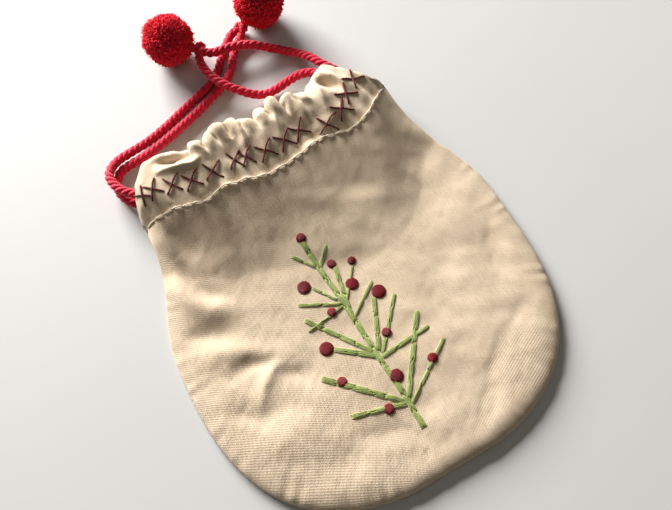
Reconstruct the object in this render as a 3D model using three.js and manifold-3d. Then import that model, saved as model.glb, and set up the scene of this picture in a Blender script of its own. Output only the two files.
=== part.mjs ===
// Drawstring gift pouch, lying on its back. Millimetres.
// +X runs across the mouth, +Y from the rounded bottom to the mouth, +Z up.
// The origin is on the table, under the middle of the pouch without its cords.
import * as THREE from 'three';
import { mergeVertices } from 'three/addons/utils/BufferGeometryUtils.js';
import Module from 'manifold-3d';

const wasm = await Module();
wasm.setup();

// ---------------------------------------------------------------- driving sizes
const FABRIC = 1.0;             // thickness of one layer of canvas
const CLEAR = 0.3;              // gap between touching pieces
const HALF_WIDTH = 75;          // widest half width of the body
const BOTTOM_Y = -88;           // bottom edge of the body
const WIDEST_Y = -15;           // where the body is widest
const ROUND_POWER = 2.6;        // squareness of the rounded bottom
const BOTTOM_ROUND = 73.6;      // from the widest line to the tip of the rounding
const FRONT_EDGE_Z = FABRIC + CLEAR;
const HEM_GAP = 0.8;            // gap between a panel's upper edge and its band
const CORD_RADIUS = 2;
const POMPOM_RADIUS = 11;
const KNOT_RADIUS = 3.2;
const THREAD_RADIUS = 0.4;
const STITCH_WIDTH = 0.8;

// The gathered band: its stitched lower edge and its ruffled upper edge, left to right.
const BAND_HEM = [
  [-62, 54.5], [-48, 54], [-34, 50.5], [-20, 51.5], [-8, 49.8], [6, 51],
  [19, 53.5], [31, 50.2], [41, 53.6], [50, 59], [58, 63.5],
];
const BAND_TOP = [
  [-61, 71], [-52, 80.5], [-38, 82], [-24, 80], [-10, 81], [4, 80],
  [16, 81], [26, 80.5], [33, 84.5], [38.5, 87.6], [44, 88],
];
const RUFFLE_COUNT = 9;
const RUFFLE_RISE = 1.0;
const RUFFLE_START = 0.5;       // ruffles fade out below this share of the band

// Height of the puffed front over the back, from the bottom (0) to the hem (1), and the
// distance from the seamed edge at which it is reached.
const DOME_CROWN = [[0, 5], [0.35, 5.4], [0.6, 6.6], [0.8, 9], [0.9, 11.2], [1, 14]];
const DOME_REACH = [[0, 14], [0.6, 20], [1, 32]];
const DOME_POWER = 2.5;         // squareness of the rounding next to the edge

// Sections across the two bands: [share of the band from hem to top, z].
const FRONT_BAND_OUTER = [
  [0, 13.3], [0, 15.3], [0.12, 16.3], [0.25, 17.2], [0.4, 17.9], [0.7, 18],
  [0.84, 17.4], [0.95, 16.2], [1, 14.4], [0.94, 12.3], [0.8, 11.3], [0.28, 11.3],
];
const FRONT_BAND_CHANNEL = [
  [0.15, 13.5], [0.15, 14.6], [0.18, 15.5], [0.27, 16.3], [0.4, 16.9], [0.7, 17],
  [0.82, 16.4], [0.91, 15.5], [0.94, 14.4], [0.9, 13.1], [0.8, 12.3], [0.3, 12.3],
];
const BACK_BAND_OUTER = [
  [0, 0], [0, 1.6], [0.08, 3.4], [0.17, 6.1], [0.3, 6.7], [0.7, 6.7],
  [0.86, 6.5], [0.96, 5.6], [1, 3.8], [0.96, 1.6], [0.87, 0], [0.28, 0],
];
const BACK_BAND_CHANNEL = [
  [0.12, 1], [0.12, 1.7], [0.14, 3], [0.21, 5.1], [0.32, 5.7], [0.7, 5.7],
  [0.84, 5.5], [0.92, 4.9], [0.95, 3.8], [0.92, 2.2], [0.84, 1], [0.3, 1],
];
const BACK_BAND_INSET = 0.03;   // the back band is a little shorter at each end
const BACK_BAND_HEIGHT = 0.9;   // and a little lower than the front band

// Where the two cords run inside each channel, as shares of the band.
const LEFT_RUN_SHARE = 0.62;
const RIGHT_RUN_SHARE = 0.4;
const FRONT_RUN_Z = 14.6;
const BACK_RUN_Z = 3.35;

// Free ends of the cords, from where they are hidden in the casing to their knot.
const LEFT_UPPER_TAIL = [
  [-50.6, 62.4, 9], [-54.6, 65.4, 9], [-58.6, 68.4, 9], [-62.4, 72.2, 8.8], [-64.9, 77.2, 7.8],
  [-65.4, 83, 6.4], [-63.2, 87, 5.2], [-59.2, 89.8, 4.1], [-52.5, 91.6, 3], [-44, 93.4, 2.2],
  [-34.7, 96.2, 2.1], [-23.5, 100.6, 2.1], [-14.5, 104, 2.1], [-7.6, 107, 2.1],
  [-2.2, 111.2, 2.1], [1.8, 116, 2.1], [5, 120, 2.1], [8.8, 123.5, 2.4], [12.9, 126.3, 3],
];
const LEFT_LOWER_TAIL = [
  [-52.6, 61.7, 3.35], [-55.9, 64.2, 3.35], [-59.2, 66.7, 3.35], [-62.4, 69.9, 3.3],
  [-64.4, 74.4, 3], [-64.6, 79, 2.5], [-62.8, 83, 2.2], [-59.8, 85.6, 2.1],
  [-55, 86.6, 2.1], [-48.5, 87.4, 2.1], [-39.3, 89.6, 2.1], [-28.8, 93, 2.1],
  [-18.3, 96.8, 2.1], [-10.2, 100.3, 2.1], [-3.3, 103.6, 2.1], [2.3, 107.8, 2.1],
  [6.2, 112.6, 2.1], [9.2, 117.1, 2.1], [12.1, 120.3, 2.4], [15.3, 122.4, 3],
];
const RIGHT_UPPER_TAIL = [
  [46.8, 76.2, 9], [44, 80.4, 9], [41.2, 84.6, 9], [38.8, 89.2, 8.6], [37, 94.4, 7.2],
  [34, 100.2, 5], [29.2, 106.2, 3.4], [23.6, 110.8, 4], [17.6, 113.9, 6.1], [11.5, 116.2, 6.9],
  [5.5, 117.4, 7], [0.6, 118, 6.8], [-2.6, 119.8, 6.6],
];
const RIGHT_LOWER_TAIL = [
  [42.4, 73.2, 9], [39.6, 77.4, 9], [36.8, 81.6, 9], [33.6, 85.6, 8.8], [29.4, 88.4, 7.2],
  [24, 89.8, 4.6], [17.5, 89.6, 2.9], [11.5, 89.6, 2.9], [6.2, 91.4, 4.4], [1.5, 94.9, 6.2],
  [-2.4, 99.2, 7], [-5.2, 104.2, 7.1], [-6.9, 109.6, 6.9], [-7.4, 114.6, 6.7], [-6.9, 118.8, 6.6],
];
const LEFT_CORD_KNOT = [17.5, 126.2, 3.3];
const LEFT_CORD_POMPOM = [29.2, 129.6, 11];
const RIGHT_CORD_KNOT = [-4.6, 122.7, 6.5];
const RIGHT_CORD_POMPOM = [-15.6, 131, 11];

// The embroidered sprig: stem and needles as [width, [x, y], [x, y], ...].
const SPRIG_LINES = [
  [1.8, [-9, 16.5], [-7.7, 4.8], [-5.9, -11.3], [-4.3, -22.4], [-3.9, -37], [-4.2, -55], [-2.9, -69.4]],
  [1.2, [-14.5, 14.7], [-7.9, 5.1]],
  [1.2, [-14.5, -1.3], [-6.4, -11.3]],
  [1.1, [-22.3, -4.7], [-5.6, -13.2]],
  [1.3, [-23.6, -16.3], [-14, -15.2], [-5, -14.4]],
  [1.8, [-22.5, -11.6], [-3.6, -37.4]],
  [1.9, [-18.4, -28.1], [-3.8, -38]],
  [1.9, [-27.9, -34.9], [-3.8, -58]],
  [1.8, [-25.2, -53.1], [-3.6, -58.6]],
  [1.2, [0.1, 12.4], [-7.4, 3]],
  [1.8, [-1.3, 2.7], [-4.6, -19]],
  [0.8, [5.1, -0.1], [-5.2, -14.6]],
  [1.3, [9.2, -10], [5.7, -11], [-4.4, -20.4]],
  [1.9, [6.1, -16.5], [-3.8, -37.6]],
  [1.4, [14.3, -19.2], [4, -29.9], [-3.8, -38.8]],
  [1.6, [19, -37.5], [-3.8, -39.4]],
  [1.9, [18, -29.7], [-3.8, -58.6]],
  [1.2, [21.7, -44], [15.2, -47.5], [-3.4, -60.4]],
];
// Berries as [x, y, radius].
const BERRIES = [
  [-7.9, 19.1, 1.9], [-2, 4, 1.7], [5.9, 1.3, 1.6], [1.1, -7.4, 2.5], [-16.6, 0.4, 2.6],
  [8.8, -15.4, 2.8], [-11.8, -14.1, 1.8], [3, -31.4, 1.8], [-20.7, -25.8, 2.7],
  [13.4, -48.8, 1.9], [-2.3, -48, 2.6], [-21.7, -40, 1.9], [-11.1, -57.4, 2],
];

const CANVAS = new THREE.MeshStandardMaterial({ color: 0xd3c0a3, roughness: 0.95 });
const CREAM_THREAD = new THREE.MeshStandardMaterial({ color: 0xe6dcc4, roughness: 0.8 });
const CORD_YARN = new THREE.MeshStandardMaterial({ color: 0xb3121f, roughness: 0.85 });
const POMPOM_YARN = new THREE.MeshStandardMaterial({ color: 0xc01428, roughness: 1 });
const STITCH_THREAD = new THREE.MeshStandardMaterial({ color: 0x5a0d14, roughness: 0.6 });
const GREEN_THREAD = new THREE.MeshStandardMaterial({ color: 0x8aa855, roughness: 0.55 });
const BERRY_THREAD = new THREE.MeshStandardMaterial({ color: 0x8d1420, roughness: 0.55 });

// ---------------------------------------------------------------- small helpers
const lerp = THREE.MathUtils.lerp;
const smoothstep = THREE.MathUtils.smoothstep;

function interpolate(table, value) {
  for (let i = 1; i < table.length; i += 1) {
    const [x0, y0] = table[i - 1];
    const [x1, y1] = table[i];
    if (value <= x1) return lerp(y0, y1, Math.max(0, (value - x0) / (x1 - x0)));
  }
  return table[table.length - 1][1];
}

function solidFrom(vertices, triangles) {
  let volume = 0;
  for (const [a, b, c] of triangles) {
    volume += vertices[a].dot(vertices[b].clone().cross(vertices[c]));
  }
  const faces = volume > 0 ? triangles : triangles.map(([a, b, c]) => [a, c, b]);
  const geometry = new THREE.BufferGeometry();
  const positions = vertices.flatMap((v) => [v.x, v.y, v.z]);
  geometry.setAttribute('position', new THREE.Float32BufferAttribute(positions, 3));
  geometry.setIndex(faces.flat());
  return geometry;
}

function bare(geometry) {
  geometry.deleteAttribute('normal');
  geometry.deleteAttribute('uv');
  return mergeVertices(geometry, 1e-4);
}

function toManifold(geometry) {
  const vertProperties = new Float32Array(geometry.attributes.position.array);
  const triVerts = new Uint32Array(geometry.index.array);
  return new wasm.Manifold(new wasm.Mesh({ numProp: 3, vertProperties, triVerts }));
}

function fromManifold(solid) {
  const mesh = solid.getMesh();
  const geometry = new THREE.BufferGeometry();
  geometry.setAttribute('position', new THREE.BufferAttribute(new Float32Array(mesh.vertProperties), 3));
  geometry.setIndex([...mesh.triVerts]);
  return geometry;
}

function joinAll(solids) {
  return solids.reduce((sum, solid) => sum.add(solid));
}

// A sheet with thickness: two grids of points, joined round their border.
function gridSolid(upper, lower) {
  const rows = upper.length;
  const columns = upper[0].length;
  const vertices = [...upper.flat(), ...lower.flat()];
  const count = rows * columns;
  const triangles = [];
  const quad = (a, b, c, d) => triangles.push([a, b, c], [a, c, d]);
  for (let r = 0; r + 1 < rows; r += 1) {
    for (let c = 0; c + 1 < columns; c += 1) {
      const a = r * columns + c;
      quad(a, a + 1, a + columns + 1, a + columns);
      quad(count + a, count + a + columns, count + a + columns + 1, count + a + 1);
    }
  }
  const border = [];
  for (let c = 0; c + 1 < columns; c += 1) border.push(c);
  for (let r = 0; r + 1 < rows; r += 1) border.push(r * columns + columns - 1);
  for (let c = columns - 1; c > 0; c -= 1) border.push((rows - 1) * columns + c);
  for (let r = rows - 1; r > 0; r -= 1) border.push(r * columns);
  border.forEach((a, i) => {
    const b = border[(i + 1) % border.length];
    quad(a, count + a, count + b, b);
  });
  return solidFrom(vertices, triangles);
}

// A sleeve open at both ends: stations of an outer loop and a channel loop.
function sleeveSolid(outerLoops, innerLoops) {
  const stations = outerLoops.length;
  const points = outerLoops[0].length;
  const vertices = [...outerLoops.flat(), ...innerLoops.flat()];
  const count = stations * points;
  const triangles = [];
  const quad = (a, b, c, d) => triangles.push([a, b, c], [a, c, d]);
  for (let p = 0; p < points; p += 1) {
    const next = (p + 1) % points;
    for (let s = 0; s + 1 < stations; s += 1) {
      const [a, b] = [s * points + p, s * points + next];
      quad(a, b, b + points, a + points);
      quad(count + a, count + a + points, count + b + points, count + b);
    }
    const last = (stations - 1) * points;
    quad(p, count + p, count + next, next);
    quad(last + p, last + next, count + last + next, count + last + p);
  }
  return solidFrom(vertices, triangles);
}

function tube(route, radius, sides, stepLength) {
  const curve = new THREE.CatmullRomCurve3(route.map((p) => new THREE.Vector3(...p)));
  const corners = [];
  for (let i = 0; i < sides; i += 1) {
    const turn = (2 * Math.PI * (i + 0.5)) / sides;
    corners.push(new THREE.Vector2(radius * Math.cos(turn), radius * Math.sin(turn)));
  }
  const steps = Math.ceil(curve.getLength() / stepLength);
  const shape = new THREE.Shape(corners);
  return bare(new THREE.ExtrudeGeometry(shape, { steps, extrudePath: curve, bevelEnabled: false }));
}

function prism(points, height) {
  const shape = new THREE.Shape(points.map(([x, y]) => new THREE.Vector2(x, y)));
  return bare(new THREE.ExtrudeGeometry(shape, { depth: height, bevelEnabled: false }));
}

// ---------------------------------------------------------------- shape of the body
function halfWidth(y, side) {
  if (y < WIDEST_Y) {
    const drop = (WIDEST_Y - y) / BOTTOM_ROUND;
    return HALF_WIDTH * (1 - drop ** ROUND_POWER) ** (1 / ROUND_POWER);
  }
  const rise = (y - WIDEST_Y) / 70;
  return side < 0 ? HALF_WIDTH - 14 * rise ** 2 : HALF_WIDTH - 10 * rise ** 2.4;
}

const hemCurve = new THREE.SplineCurve(BAND_HEM.map((p) => new THREE.Vector2(...p)));
const topCurve = new THREE.SplineCurve(BAND_TOP.map((p) => new THREE.Vector2(...p)));

function bandPoint(along, share) {
  return hemCurve.getPoint(along).lerp(topCurve.getPoint(along), share);
}

function backBandPoint(along, share) {
  return bandPoint(lerp(BACK_BAND_INSET, 1 - BACK_BAND_INSET, along), BACK_BAND_HEIGHT * share);
}

// A point of the body, by side (-1 left edge, 1 right edge) and rise (0 bottom, 1 hem).
function bodyPoint(side, rise, inset = 0) {
  const hem = hemCurve.getPoint((side + 1) / 2);
  const y = lerp(BOTTOM_Y + inset, hem.y - HEM_GAP, rise);
  const across = side * (halfWidth(y, side) - inset);
  return new THREE.Vector2(lerp(across, hem.x, smoothstep(rise, 0.6, 1)), y);
}

// Distance from the seamed edge, found from the gaps to it along X and along Y.
function edgeDistance({ x, y }) {
  const gapX = Math.max(0, halfWidth(y, Math.sign(x)) - Math.abs(x));
  const across = Math.min(1, Math.abs(x) / HALF_WIDTH);
  const edgeY = WIDEST_Y - BOTTOM_ROUND * (1 - across ** ROUND_POWER) ** (1 / ROUND_POWER);
  const gapY = y - Math.max(BOTTOM_Y, edgeY);
  return gapY <= 0 ? 0 : (gapX * gapY) / Math.hypot(gapX, gapY);
}

function domeRise(side, rise) {
  const onEdge = Math.abs(side) === 1 || rise === 0;
  const inward = onEdge ? 0 : edgeDistance(bodyPoint(side, rise));
  const reach = Math.min(1, inward / interpolate(DOME_REACH, rise));
  const rounding = (1 - (1 - reach) ** DOME_POWER) ** (1 / DOME_POWER);
  return interpolate(DOME_CROWN, rise) * rounding;
}

// One layer parallel to the front, from `low` to `high` above its outer face.
const DOME_ROWS = [0, 0.01, 0.025, 0.05, 0.085, 0.13, 0.18, 0.24, 0.3, 0.36, 0.42, 0.48, 0.54,
  0.6, 0.66, 0.72, 0.78, 0.84, 0.9, 0.95, 1];
const DOME_COLUMNS = [-1, -0.985, -0.95, -0.9, -0.82, -0.7, -0.56, -0.42, -0.28, -0.14, 0,
  0.14, 0.28, 0.42, 0.56, 0.7, 0.82, 0.9, 0.95, 0.985, 1];

function domeLayer(rows, columns, lift, inset) {
  return rows.map((rise) => columns.map((side) => {
    const place = bodyPoint(side, rise, inset);
    const height = Math.max(0, domeRise(side, rise) + lift);
    return new THREE.Vector3(place.x, place.y, FRONT_EDGE_Z + height);
  }));
}

function frontPanel() {
  const outer = domeLayer(DOME_ROWS, DOME_COLUMNS, 0, 0);
  const inner = domeLayer(DOME_ROWS, DOME_COLUMNS, -FABRIC, FABRIC);
  inner[inner.length - 1].forEach((point, i) => {
    const above = outer[outer.length - 1][i];
    point.set(above.x * 0.985, above.y, point.z);
  });
  return gridSolid(outer, inner);
}

// The seamed edge from the left end of the hem round the bottom to the right end,
// moved inwards by the inset.
function edgeLine(inset, highest = 1) {
  const rises = DOME_ROWS.filter((share) => share <= highest);
  const line = [...rises].reverse().map((rise) => bodyPoint(-1, rise));
  line.push(...rises.map((rise) => bodyPoint(1, rise)));
  return line.map((point, i) => {
    const before = line[Math.max(0, i - 1)];
    const after = line[Math.min(line.length - 1, i + 1)];
    const along = after.clone().sub(before).normalize();
    return [point.x - inset * along.y, point.y + inset * along.x];
  });
}

function backPanel() {
  const hem = [];
  for (let i = 19; i > 0; i -= 1) {
    const point = hemCurve.getPoint(i / 20);
    hem.push([point.x, point.y - HEM_GAP]);
  }
  return prism([...edgeLine(0), ...hem], FABRIC);
}

// A strip that follows the side and bottom edges inside the pouch.
function edgeStrip(outerInset, innerInset, bottomZ, thickness) {
  const outline = [...edgeLine(outerInset, 0.95), ...edgeLine(innerInset, 0.95).reverse()];
  return prism(outline, thickness).translate(0, 0, bottomZ);
}

// ---------------------------------------------------------------- gathered bands
function ruffle(along, share) {
  const wave = 0.5 - 0.5 * Math.cos(2 * Math.PI * RUFFLE_COUNT * along);
  return RUFFLE_RISE * wave * smoothstep(share, RUFFLE_START, 1);
}

function frontCasing() {
  const stations = 4 * RUFFLE_COUNT;
  const loop = (section, along, ruffled) => section.map(([share, z]) => {
    const place = bandPoint(along, share);
    const lift = ruffled && z > FRONT_RUN_Z ? ruffle(along, share) : 0;
    return new THREE.Vector3(place.x, place.y, z + lift);
  });
  const outer = [];
  const inner = [];
  for (let i = 0; i <= stations; i += 1) {
    outer.push(loop(FRONT_BAND_OUTER, i / stations, true));
    inner.push(loop(FRONT_BAND_CHANNEL, i / stations, false));
  }
  return sleeveSolid(outer, inner);
}

function backCasing() {
  const stations = 22;
  const loop = (section, along) => section.map(([share, z]) => {
    const place = backBandPoint(along, share);
    return new THREE.Vector3(place.x, place.y, z);
  });
  const outer = [];
  const inner = [];
  for (let i = 0; i <= stations; i += 1) {
    outer.push(loop(BACK_BAND_OUTER, i / stations));
    inner.push(loop(BACK_BAND_CHANNEL, i / stations));
  }
  return sleeveSolid(outer, inner);
}

function bandRoute(placeAt, share, z, start, end) {
  const route = [];
  const steps = 16;
  for (let i = 0; i <= steps; i += 1) {
    const place = placeAt(lerp(start, end, i / steps), share);
    route.push([place.x, place.y, z]);
  }
  return route;
}

// Height of the front band's outer face at a share of its height.
function bandFace(share) {
  return interpolate(FRONT_BAND_OUTER.slice(1, 9), share);
}

// ---------------------------------------------------------------- stitching
function bar(width, [x0, y0], [x1, y1], height) {
  const along = new THREE.Vector2(x1 - x0, y1 - y0).normalize().multiplyScalar(width / 2);
  const [dx, dy] = [along.x, along.y];
  return toManifold(prism([
    [x0 - dx - dy, y0 - dy + dx], [x0 - dx + dy, y0 - dy - dx],
    [x1 + dx + dy, y1 + dy - dx], [x1 + dx - dy, y1 + dy + dx],
  ], height));
}

const TALL = 40;                // taller than anything a stitch is cut from

function sprigLayer(low, high) {
  const rows = DOME_ROWS.filter((rise) => rise < 0.9 && rise > 0.05);
  const columns = DOME_COLUMNS.filter((side) => Math.abs(side) < 0.6);
  return toManifold(gridSolid(domeLayer(rows, columns, high, 0), domeLayer(rows, columns, low, 0)));
}

function disc([x, y, radius], grow) {
  const corners = [];
  for (let i = 0; i < 12; i += 1) {
    const turn = (2 * Math.PI * i) / 12;
    corners.push([x + (radius + grow) * Math.cos(turn), y + (radius + grow) * Math.sin(turn)]);
  }
  return toManifold(prism(corners, TALL));
}

function sprig() {
  const bars = [];
  for (const [width, ...points] of SPRIG_LINES) {
    for (let i = 1; i < points.length; i += 1) bars.push(bar(width, points[i - 1], points[i], TALL));
  }
  let solid = joinAll(bars).intersect(sprigLayer(CLEAR, CLEAR + 0.6));
  for (const berry of BERRIES) solid = solid.subtract(disc(berry, CLEAR));
  const pieces = solid.decompose();
  pieces.sort((a, b) => b.volume() - a.volume());
  return fromManifold(pieces[0]);
}

function berry(place) {
  return fromManifold(disc(place, 0).intersect(sprigLayer(CLEAR, CLEAR + 1.1)));
}

// Crossed stitches along the band: two zigzag threads half a stitch apart.
function crossStitches() {
  const crosses = 15;
  const low = 0.27;
  const high = 0.52;
  const start = 0.04;
  const end = 0.97;
  const pitch = (end - start) / crosses;
  const arm = 1.15;             // an arm is a little longer than the pitch
  const pieces = [];
  for (let i = 0; i < crosses; i += 1) {
    const middle = start + (i + 0.5) * pitch;
    for (const lean of [-1, 1]) {
      const a = bandPoint(middle - 0.5 * lean * arm * pitch, low);
      const b = bandPoint(middle + 0.5 * lean * arm * pitch, high);
      pieces.push(bar(STITCH_WIDTH, [a.x, a.y], [b.x, b.y], TALL));
    }
  }
  const layer = (lift) => [0, 1].map((row) => {
    const share = row ? high + 0.08 : low - 0.08;
    return Array.from({ length: 41 }, (_, i) => {
      const place = bandPoint(i / 40, share);
      return new THREE.Vector3(place.x, place.y, FRONT_BAND_OUTER[5][1] + lift);
    });
  });
  return fromManifold(joinAll(pieces).intersect(toManifold(gridSolid(layer(0.9), layer(CLEAR)))));
}

function hemThread(placeAt, z) {
  return tube(bandRoute(placeAt, 0.07, z, 0.02, 0.98), THREAD_RADIUS, 6, 5);
}

// ---------------------------------------------------------------- assembly
const pouch = new THREE.Group();

function add(name, geometry, material, place = [0, 0, 0]) {
  const mesh = new THREE.Mesh(geometry, material);
  mesh.name = name;
  mesh.position.set(...place);
  pouch.add(mesh);
}

function cord(route) {
  return tube(route, CORD_RADIUS, 8, 9);
}

add('back_panel', backPanel(), CANVAS);
add('seam_allowance', edgeStrip(3.5, 9.5, FRONT_EDGE_Z, 0.7), CANVAS);
add('seam_thread', edgeStrip(4.6, 5.3, 2.3, 0.3), CREAM_THREAD);
add('overlock_thread', edgeStrip(7.5, 9.5, 2.3, 0.6), CREAM_THREAD);
add('back_casing', backCasing(), CANVAS);
add('back_hem_thread', hemThread(backBandPoint, 4), CREAM_THREAD);
add('front_panel', frontPanel(), CANVAS);
add('front_casing', frontCasing(), CANVAS);
add('front_hem_thread', hemThread(bandPoint, 16.7), CREAM_THREAD);
add('cross_stitch_thread', crossStitches(), STITCH_THREAD);
add('sprig_embroidery', sprig(), GREEN_THREAD);
BERRIES.forEach((place, i) => {
  add(`berry_${String(i + 1).padStart(2, '0')}`, berry(place), BERRY_THREAD);
});

const CORD_RUNS = [
  ['left_cord', LEFT_RUN_SHARE, 0.17, 0.9],
  ['right_cord', RIGHT_RUN_SHARE, 0.17, 0.86],
];
for (const [name, share, start, end] of CORD_RUNS) {
  add(`${name}_front_run`, cord(bandRoute(bandPoint, share, FRONT_RUN_Z, start, end)), CORD_YARN);
  add(`${name}_back_run`, cord(bandRoute(backBandPoint, share, BACK_RUN_Z, start, end)), CORD_YARN);
}
add('left_cord_upper_tail', cord(LEFT_UPPER_TAIL), CORD_YARN);
add('left_cord_lower_tail', cord(LEFT_LOWER_TAIL), CORD_YARN);
add('right_cord_upper_tail', cord(RIGHT_UPPER_TAIL), CORD_YARN);
add('right_cord_lower_tail', cord(RIGHT_LOWER_TAIL), CORD_YARN);

const CORD_ENDS = [
  ['left_cord', LEFT_CORD_KNOT, LEFT_CORD_POMPOM],
  ['right_cord', RIGHT_CORD_KNOT, RIGHT_CORD_POMPOM],
];
for (const [name, knot, pompom] of CORD_ENDS) {
  add(`${name}_knot`, bare(new THREE.IcosahedronGeometry(KNOT_RADIUS, 2)), CORD_YARN, knot);
  add(`${name}_pompom`, bare(new THREE.IcosahedronGeometry(POMPOM_RADIUS, 3)), POMPOM_YARN, pompom);
}

export default pouch;
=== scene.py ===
"""Looks of the drawstring gift pouch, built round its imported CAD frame. Runs in Blender.

+X runs across the mouth, +Y from the rounded bottom to the mouth, +Z up. Values followed
by MM, and the tables of shapes and routes, are in millimetres.
"""
import math

import bpy
import numpy as np
from mathutils import Matrix, Vector
from mathutils.bvhtree import BVHTree


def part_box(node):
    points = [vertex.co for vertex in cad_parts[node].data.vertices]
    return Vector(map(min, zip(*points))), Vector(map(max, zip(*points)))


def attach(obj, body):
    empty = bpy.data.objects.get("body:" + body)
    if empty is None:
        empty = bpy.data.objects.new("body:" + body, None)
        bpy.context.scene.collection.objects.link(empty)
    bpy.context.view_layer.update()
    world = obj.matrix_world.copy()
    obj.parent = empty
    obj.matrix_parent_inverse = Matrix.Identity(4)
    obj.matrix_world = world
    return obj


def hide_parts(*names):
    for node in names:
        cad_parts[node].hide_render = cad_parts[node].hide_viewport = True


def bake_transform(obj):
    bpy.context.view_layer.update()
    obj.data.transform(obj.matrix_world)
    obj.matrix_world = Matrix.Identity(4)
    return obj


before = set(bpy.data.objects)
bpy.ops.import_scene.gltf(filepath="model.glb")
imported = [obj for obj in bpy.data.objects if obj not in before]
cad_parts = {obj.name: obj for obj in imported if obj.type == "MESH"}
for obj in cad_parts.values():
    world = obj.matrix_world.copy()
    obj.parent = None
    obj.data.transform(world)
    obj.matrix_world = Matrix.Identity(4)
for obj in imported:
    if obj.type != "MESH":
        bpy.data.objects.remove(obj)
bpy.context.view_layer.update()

MM = 0.001

# ------ camera
CAMERA_PLACE = (-0.0471, -0.0809, 0.2716)
CAMERA_LOOK = (0.1702, 0.3061, -0.9367)
CAMERA_RIGHT = (0.874, -0.4859, 0)


def make_camera():
    data = bpy.data.cameras.new("camera")
    data.lens = 37.5
    data.sensor_width = 36
    data.clip_start = 0.01
    camera = bpy.data.objects.new("camera", data)
    bpy.context.collection.objects.link(camera)
    look = Vector(CAMERA_LOOK).normalized()
    right = Vector(CAMERA_RIGHT).normalized()
    up = right.cross(look)
    turn = Matrix((right, up, -look)).transposed()
    camera.matrix_world = Matrix.Translation(CAMERA_PLACE) @ turn.to_4x4()
    bpy.context.scene.camera = camera


make_camera()

# ------ the cords' free ends
CORD_RADIUS = 2 * MM
# Name, body, length with its stretch inside the casing, and route in millimetres.
TAILS = [
    ("left_cord_upper_tail", "left_cord", 0.1247, [
        (-50.6, 62.4, 9), (-54.6, 65.4, 9), (-58.6, 68.4, 9), (-62.4, 72.2, 8.8),
        (-64.9, 77.2, 7.8), (-65.4, 83, 6.4), (-63.2, 87, 5.2), (-59.2, 89.8, 4.1),
        (-52.5, 91.6, 3), (-44, 93.4, 2.2), (-34.7, 96.2, 2.1), (-23.5, 100.6, 2.1),
        (-14.5, 104, 2.1), (-7.6, 107, 2.1), (-2.2, 111.2, 2.1), (1.8, 116, 2.1), (5, 120, 2.1),
        (8.8, 123.5, 2.4), (12.9, 126.3, 3),
    ]),
    ("left_cord_lower_tail", "left_cord", 0.1218, [
        (-52.6, 61.7, 3.35), (-55.9, 64.2, 3.35), (-59.2, 66.7, 3.35), (-62.4, 69.9, 3.3),
        (-64.4, 74.4, 3), (-64.6, 79, 2.5), (-62.8, 83, 2.2), (-59.8, 85.6, 2.1), (-55, 86.6, 2.1),
        (-48.5, 87.4, 2.1), (-39.3, 89.6, 2.1), (-28.8, 93, 2.1), (-18.3, 96.8, 2.1),
        (-10.2, 100.3, 2.1), (-3.3, 103.6, 2.1), (2.3, 107.8, 2.1), (6.2, 112.6, 2.1),
        (9.2, 117.1, 2.1), (12.1, 120.3, 2.4), (15.3, 122.4, 3),
    ]),
    ("right_cord_upper_tail", "right_cord", 0.0751, [
        (46.8, 76.2, 9), (44, 80.4, 9), (41.2, 84.6, 9), (38.8, 89.2, 8.6), (37, 94.4, 7.2),
        (34, 100.2, 5), (29.2, 106.2, 3.4), (23.6, 110.8, 4), (17.6, 113.9, 6.1),
        (11.5, 116.2, 6.9), (5.5, 117.4, 7), (0.6, 118, 6.8), (-2.6, 119.8, 6.6),
    ]),
    ("right_cord_lower_tail", "right_cord", 0.0826, [
        (42.4, 73.2, 9), (39.6, 77.4, 9), (36.8, 81.6, 9), (33.6, 85.6, 8.8), (29.4, 88.4, 7.2),
        (24, 89.8, 4.6), (17.5, 89.6, 2.9), (11.5, 89.6, 2.9), (6.2, 91.4, 4.4), (1.5, 94.9, 6.2),
        (-2.4, 99.2, 7), (-5.2, 104.2, 7.1), (-6.9, 109.6, 6.9), (-7.4, 114.6, 6.7),
        (-6.9, 118.8, 6.6),
    ]),
]


# ------ curves and numbers
def smooth(value, low, high):
    share = np.clip((value - low) / (high - low), 0, 1)
    return share * share * (3 - 2 * share)


def bell(value, middle, width):
    return np.exp(-(((value - middle) / width) ** 2))


def unit(vectors):
    return vectors / np.maximum(np.linalg.norm(vectors, axis=-1, keepdims=True), 1e-12)


def spline(points, share):
    """A smooth curve through the points, at shares of the way from 0 to 1."""
    points = np.asarray(points, float)
    last = len(points) - 1
    place = np.clip(np.asarray(share, float), 0, 1) * last
    index = np.minimum(place.astype(int), last - 1)
    t = (place - index)[..., None]
    p0, p1 = points[np.maximum(index - 1, 0)], points[index]
    p2, p3 = points[index + 1], points[np.minimum(index + 2, last)]
    v0, v1 = (p2 - p0) / 2, (p3 - p1) / 2
    cubic = 2 * p1 - 2 * p2 + v0 + v1
    square = 3 * p2 - 3 * p1 - 2 * v0 - v1
    return cubic * t ** 3 + square * t ** 2 + v0 * t + p1


def table(rows, value):
    rows = np.asarray(rows, float)
    return np.interp(value, rows[:, 0], rows[:, 1])


def eased(rows, value):
    """A table read with rounded peaks and dips."""
    rows = np.asarray(rows, float)
    place = np.interp(value, rows[:, 0], np.arange(len(rows)))
    index = np.minimum(place.astype(int), len(rows) - 2)
    share = smooth(place - index, 0, 1)
    return rows[index, 1] + (rows[index + 1, 1] - rows[index, 1]) * share


def run_of(points):
    """How far each point is along its line."""
    steps = np.linalg.norm(np.diff(points, axis=-2), axis=-1)
    return np.concatenate([np.zeros_like(steps[..., :1]), np.cumsum(steps, axis=-1)], -1)


def resampled(points, run, marks):
    return np.stack([np.interp(marks, run, points[:, k]) for k in range(points.shape[1])], 1)


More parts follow.
